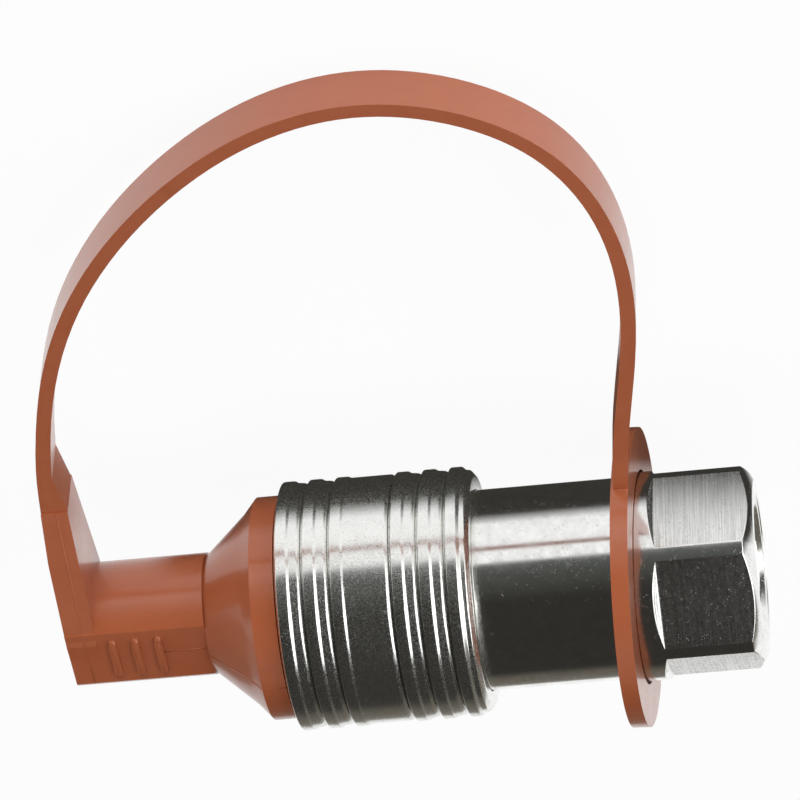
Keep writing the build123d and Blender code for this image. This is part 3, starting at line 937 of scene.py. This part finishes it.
@dataclass
class ReleaseSleevePiece(SubAssembly):
    """Release sleeve with its two groups of fine ridges and the plain band between them."""

    front: float = 46.302
    groove_radius: float = 11.75
    crest_radius: float = 12.70
    pitch: float = 2.75
    lead: float = 0.10
    crest: float = 1.05
    flank: float = 0.20
    step: float = 0.28
    step_drop: float = 0.20
    fall: float = 0.08
    wall_start: float = 0.38
    wall_bend: float = 0.02
    wall_end: float = -0.04
    wall_drop: float = 0.20
    band_drop: float = 0.15
    band_length: float = 4.55
    end_chamfer: float = 0.35
    end_drop: float = 1.0
    end_land: float = 0.45
    land_fall: float = 0.06
    tail: float = 0.92
    spring_radius: float = 10.28
    spring_end: float = 37.502
    lock_radius: float = 9.28
    ramp_start: float = 39.402
    ramp_end: float = 44.302
    ramp_end_radius: float = 10.33
    ring_radius: float = 10.90
    edge: float = 0.09
    columns: int = 288

    def ridge(self, start: float) -> Outline:
        """Flank and crest of a ridge, as distances behind the front and radii."""
        foot = start + (self.lead if start else 0.0)
        crest = start + self.lead + self.flank
        return [
            (foot, self.groove_radius),
            (crest, self.crest_radius),
            (crest + self.crest, self.crest_radius),
        ]

    def wall(self, groove: float, radius: float) -> Outline:
        """Rounded wall that falls from a radius into a groove."""
        return [
            (groove - self.wall_start, radius),
            (groove - self.wall_bend, radius - self.wall_drop),
            (groove - self.wall_end, self.groove_radius),
        ]

    def ridge_back(self, start: float) -> Outline:
        """Step and falling back of a ridge, down to the next groove."""
        step_end = start + self.lead + self.flank + self.crest + self.step
        low = self.crest_radius - self.step_drop
        return [(step_end, low)] + self.wall(start + self.pitch, low - self.fall)

    def outside(self) -> Outline:
        """Outer outline from the front edge to the back edge."""
        ridge_end = self.lead + self.flank + self.crest
        band = 2 * self.pitch + ridge_end + self.step
        second = band + self.band_length
        last = second + 2 * self.pitch
        crest_end = last + ridge_end
        line: Outline = []
        for start in (0.0, self.pitch):
            line += self.ridge(start) + self.ridge_back(start)
        line += self.ridge(2 * self.pitch)
        line += [(band, self.crest_radius - self.band_drop)]
        line += self.wall(second, self.crest_radius - self.band_drop)
        for start in (second, second + self.pitch):
            line += self.ridge(start) + self.ridge_back(start)
        line += self.ridge(last)
        land, low = crest_end + self.end_chamfer, self.crest_radius - self.end_chamfer
        line += [
            (land, low),
            (land + self.end_land, low - self.land_fall),
            (land + self.tail, self.crest_radius - self.end_drop),
        ]
        return line

    def inside(self, back: float) -> Outline:
        """Bore from the back edge to the front: spring room, land, ball ramp and ring bore."""
        return [
            (back, self.spring_radius), (self.spring_end, self.spring_radius),
            (self.spring_end, self.lock_radius), (self.ramp_start, self.lock_radius),
            (self.ramp_end, self.ramp_end_radius), (self.ramp_end, self.ring_radius),
            (self.front, self.ring_radius),
        ]

    def build(self, frame: dict[str, Any]) -> list[bpy.types.Object]:
        """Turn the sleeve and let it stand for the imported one.


        Returns:
            The new piece.
        """
        outer = [(self.front - back, radius) for back, radius in self.outside()]
        section = soften(outer + self.inside(outer[-1][0]), self.edge)
        sleeve = turned("ridged_sleeve", lambda _: section, even_angles(self.columns))
        PLATED_SLEEVE.dress(sleeve)
        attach(sleeve, Body.SLEEVE.value)
        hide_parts("release_sleeve")
        return [sleeve]


@dataclass
class DustPlugPiece(SubAssembly):
    """Moulded dust plug: rounded edges, grip ribs and the fine parting lines of the mould."""

    edge: float = 0.16
    lean: float = 10.84
    flange_back: float = 46.5
    rim_end: float = 48.902
    flange_radius: float = 11.4
    cone_start: float = 50.302
    cone_start_radius: float = 9.8
    cone_end: float = 54.602
    cone_end_radius: float = 5.95
    stem_flat: float = 5.2
    plate_seam: float = 67.1
    plate_half: float = 5.3
    plate_shoulder: float = 2.0
    neck_half: float = 2.75
    plate_top: float = 18.6
    foot: float = 3.3
    rib_places: tuple[float, ...] = (59.602, 61.952, 64.302)
    rib_half_length: float = 2.32
    rib_width: float = 0.86
    rib_height: float = 0.46
    rib_slope: tuple[Span, ...] = ((0.0, 0.3), (0.12, 0.06), (0.4, 0.0))
    line_width: float = 0.13
    line_height: float = 0.05
    line_reach: float = 0.3
    line_start: float = 0.05
    bead_half: tuple[Span, ...] = ((-0.5, -0.6), (-0.5, 0.15), (-0.42, 0.55), (-0.25, 0.88))

    def place(self, x: float, reach: float, side: float) -> Vector:
        """Point from its place on the axis, its reach towards the loop and its side."""
        turn = math.radians(self.lean)
        out = Vector((0.0, -math.cos(turn), -math.sin(turn)))
        across = Vector((0.0, -math.sin(turn), math.cos(turn)))
        return Vector((x, 0.0, 0.0)) + out * reach + across * side

    def bead(
        self, name: str, line: Sequence[Vector], away: Vector, width: float, height: float
    ) -> bpy.types.Object:
        """Raised line with a rounded back.

        Args:
            name: Name of the piece.
            line: Corners of the line on the surface.
            away: Direction out of the surface.
            width: Width of the line.
            height: How far it stands out.

        Returns:
            The piece.
        """
        section = [*self.bead_half, (0.0, 1.0), *((-u, v) for u, v in reversed(self.bead_half))]
        points: list[Vector] = []
        for number, here in enumerate(line):
            before, after = line[max(0, number - 1)], line[min(len(line) - 1, number + 1)]
            along = (after - before).normalized()
            across = along.cross(away).normalized()
            rise = across.cross(along).normalized()
            if rise.dot(away) < 0:
                rise = -rise
            points += [here + across * (u * width) + rise * (v * height) for u, v in section]
        count = len(section)
        faces: list[Sequence[int]] = [range(count), range(len(points) - count, len(points))]
        for number in range(len(line) - 1):
            for corner in range(count):
                after = (corner + 1) % count
                low, high = number * count, (number + 1) * count
                faces.append((low + corner, low + after, high + after, high + corner))
        piece = mesh_object(name, points, faces)
        close_up(piece, join=False)
        return piece

    def seams(self) -> list[bpy.types.Object]:
        """Parting lines on both sides of the grip, the flange and the end plate."""
        corners = {
            "cone": (
                (self.flange_back, 0, self.flange_radius),
                (self.rim_end, 0, self.flange_radius),
                (self.cone_start, 0, self.cone_start_radius),
                (self.cone_end, 0, self.cone_end_radius),
            ),
            "grip": (
                (self.cone_end + self.line_start, self.line_reach, self.stem_flat),
                (self.rib_places[0] - self.line_reach, self.line_reach, self.stem_flat),
            ),
            "plate": (
                (self.plate_seam, self.plate_top, self.neck_half),
                (self.plate_seam, self.plate_shoulder, self.plate_half),
                (self.plate_seam, 0, self.stem_flat),
                (self.plate_seam, -self.foot, self.stem_flat),
            ),
        }
        made = []
        for side in Side:
            away = self.place(0, 0, side.value)
            for place, row in corners.items():
                name = f"{place}_seam_{side.name.lower()}"
                line = [self.place(x, reach, side.value * half) for x, reach, half in row]
                made.append(self.bead(name, line, away, self.line_width, self.line_height))
        return made

    def ribs(self) -> list[bpy.types.Object]:
        """Rounded backs of the grip's ribs, with sloping ends."""
        made = []
        slope = [(self.rib_half_length - inset, sunk) for inset, sunk in self.rib_slope]
        back = [*((-reach, sunk) for reach, sunk in slope), *reversed(slope)]
        for side in Side:
            away = self.place(0, 0, side.value)
            for number, x in enumerate(self.rib_places, start=1):
                name = f"grip_rib_{side.name.lower()}_{number}"
                line = [
                    self.place(x, reach, side.value * (self.stem_flat - sunk))
                    for reach, sunk in back
                ]
                made.append(self.bead(name, line, away, self.rib_width, self.rib_height))
        return made

    def build(self, frame: dict[str, Any]) -> list[bpy.types.Object]:
        """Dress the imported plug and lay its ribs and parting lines.


        Returns:
            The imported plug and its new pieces.
        """
        node = frame["nodes"]["dust_plug"]
        round_edges(node, self.edge, segments=3, angle=18.0)
        BROWN_PLASTIC.dress(node)
        marks = self.seams() + self.ribs()
        for mark in marks:
            BROWN_PLASTIC.dress(mark)
            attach(mark, Body.PLUG.value)
        return [node, *marks]


@dataclass
class Internals(SubAssembly):
    """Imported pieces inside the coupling, with broken edges and their own finishes."""

    edge: float = 0.08
    machined: tuple[str, ...] = ("socket_body", "poppet_valve", "valve_guide", "sleeve_stop_ring")
    balls: int = 8

    def finishes(self) -> dict[str, Finish]:
        """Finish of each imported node."""
        table: dict[str, Finish] = {
            "socket_body": PLATED_SOCKET,
            "sleeve_stop_ring": SPRING_STEEL,
            "sleeve_spring": SPRING_STEEL,
            "poppet_spring": SPRING_STEEL,
            "poppet_valve": TURNED_STEEL,
            "valve_guide": TURNED_STEEL,
            "poppet_seal": NITRILE,
            "joint_seal": NITRILE,
            "socket_seal": NITRILE,
            "backup_ring": WHITE_PLASTIC,
            "release_sleeve": PLATED_SLEEVE,
        }
        for number in range(1, self.balls + 1):
            table[f"locking_ball_{number}"] = BALL_STEEL
        return table

    def build(self, frame: dict[str, Any]) -> list[bpy.types.Object]:
        """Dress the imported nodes.


        Returns:
            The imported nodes.
        """
        dressed = []
        for name, finish in self.finishes().items():
            node = frame["nodes"][name]
            finish.dress(node)
            if name in self.machined:
                round_edges(node, self.edge)
            dressed.append(node)
        return dressed


# ------------------------------------------------------------------ studio


@dataclass(frozen=True)
class Lamp:
    """Soft rectangular lamp."""

    name: str
    place: tuple[float, float, float]
    size: Span
    watts: float
    mirrored: bool

    def hang(self, target: Vector) -> None:
        """Hang the lamp and point it.

        Args:
            target: What it points at, in metres.
        """
        data = bpy.data.lights.new(self.name, "AREA")
        data.shape = "RECTANGLE"
        data.size, data.size_y = self.size[0] * MM, self.size[1] * MM
        data.energy = self.watts
        lamp = bpy.data.objects.new(self.name, data)
        lamp.location = Vector(self.place) * MM
        lamp.rotation_euler = (target - lamp.location).to_track_quat("-Z", "Y").to_euler()
        lamp.visible_glossy = self.mirrored
        lamp.visible_camera = False
        bpy.context.scene.collection.objects.link(lamp)


@dataclass(frozen=True)
class Room:
    """White to the lens; to everything else a dim room with a white band low in front.

    Each table gives colours by height, from 0 at the horizon to 1 overhead.
    """

    front: tuple[tuple[float, Colour], ...] = (
        (0.0, WHITE), (0.03, WHITE), (0.10, (0.09, 0.095, 0.09)), (0.45, (0.065, 0.067, 0.06)),
        (0.72, (0.032, 0.030, 0.027)),
    )
    back: tuple[tuple[float, Colour], ...] = (
        (0.0, (0.17, 0.155, 0.13)), (0.32, (0.12, 0.11, 0.09)), (0.50, (0.032, 0.030, 0.027)),
    )
    turn_over: float = -4.0

    def build(self) -> None:
        """Make the world."""
        world = bpy.data.worlds.new("room")
        bpy.context.scene.world = world
        world.use_nodes = True
        tree = NodeTree(world.node_tree, "ShaderNodeOutputWorld")
        _, side, height = tree.parts(tree.node("ShaderNodeTexCoord").outputs["Generated"])
        facing = tree.node("ShaderNodeMath", operation="MULTIPLY_ADD", use_clamp=True)
        for target, value in zip(facing.inputs, (side, self.turn_over, 0.5)):
            tree.feed(target, value)
        walls = tree.blend(
            facing.outputs[0], tree.ramp(self.back, height), tree.ramp(self.front, height)
        )
        dim_room = tree.node("ShaderNodeBackground")
        tree.feed(dim_room.inputs[0], walls)
        paper = tree.node("ShaderNodeBackground")
        paper.inputs[0].default_value = (*WHITE, 1.0)
        seen = tree.node("ShaderNodeLightPath").outputs["Is Camera Ray"]
        tree.mixed(seen, dim_room.outputs[0], paper.outputs[0])


@dataclass(frozen=True)
class Viewpoint:
    """Camera that looks down at the coupling, with the loop at the top of the frame."""

    azimuth: float = -8.7
    elevation: float = 35.8
    roll: float = 180.0
    distance: float = 550.0
    lens: float = 243.2
    sensor: float = 36.0
    clip: Span = (0.01, 20.0)

    def build(self, target: Vector) -> None:
        """Set the camera up.

        Args:
            target: Middle of the frame, in metres.
        """
        data = bpy.data.cameras.new("camera")
        data.lens = self.lens
        data.sensor_width = self.sensor
        data.clip_start, data.clip_end = self.clip
        camera = bpy.data.objects.new("camera", data)
        turn, rise = math.radians(self.azimuth), math.radians(self.elevation)
        level = math.cos(rise)
        back = Vector((math.sin(turn) * level, -math.cos(turn) * level, math.sin(rise)))
        right = Vector((math.cos(turn), math.sin(turn), 0.0))
        axes = Matrix((right, back.cross(right), back)).transposed()
        axes = axes @ Matrix.Rotation(math.radians(self.roll), 3, "Z")
        place = target + back * self.distance * MM
        camera.matrix_world = Matrix.Translation(place) @ axes.to_4x4()
        bpy.context.scene.collection.objects.link(camera)
        bpy.context.scene.camera = camera


@dataclass
class Studio:
    """White sweep, soft lamps, dim room and camera."""

    target: tuple[float, float, float] = (33.45, -11.59, -16.29)
    floor_size: float = 3000.0
    lamps: tuple[Lamp, ...] = (
        Lamp("overhead", (30, 130, 620), (420, 360), 1.3, False),
        Lamp("port_side_panel", (-430, -170, 240), (560, 520), 2.0, True),
        Lamp("plug_side_panel", (540, -40, 200), (500, 400), 0.7, False),
        Lamp("front", (20, -560, 40), (420, 300), 2.6, False),
    )

    def floor(self, level: float) -> None:
        """Lay the sweep under the coupling.

        Args:
            level: Height of its surface, in metres.
        """
        half = self.floor_size / 2
        signs = ((-1, -1), (1, -1), (1, 1), (-1, 1))
        corners = [Vector((x * half, y * half, level / MM)) for x, y in signs]
        sweep = mesh_object("white_sweep", corners, [(0, 1, 2, 3)])
        sweep.data.materials.append(StudioPaper().material())
        sweep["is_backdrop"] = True

    def build(self, level: float) -> None:
        """Set up the whole studio.

        Args:
            level: Height of the floor, in metres.
        """
        target = Vector(self.target) * MM
        self.floor(level)
        Room().build()
        Viewpoint().build(target)
        for lamp in self.lamps:
            lamp.hang(target)
        bpy.context.scene.view_settings.view_transform = "Standard"


def main() -> None:
    """Load the frame, lay the floor at its lowest point, set up the studio and build every
    sub-assembly in order.
    """
    logging.basicConfig(level=logging.INFO, format="%(name)s: %(message)s")
    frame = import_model()
    before = [list(corner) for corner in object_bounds()]
    Studio().build(before[0][2])
    for assembly in (PortBodyPiece(), ReleaseSleevePiece(), DustPlugPiece(), Internals()):
        for piece in assembly.build(frame):
            LOG.info("%s: %s", type(assembly).__name__, piece.name)
    LOG.info("size file written")


if __name__ == "__main__":
    main()
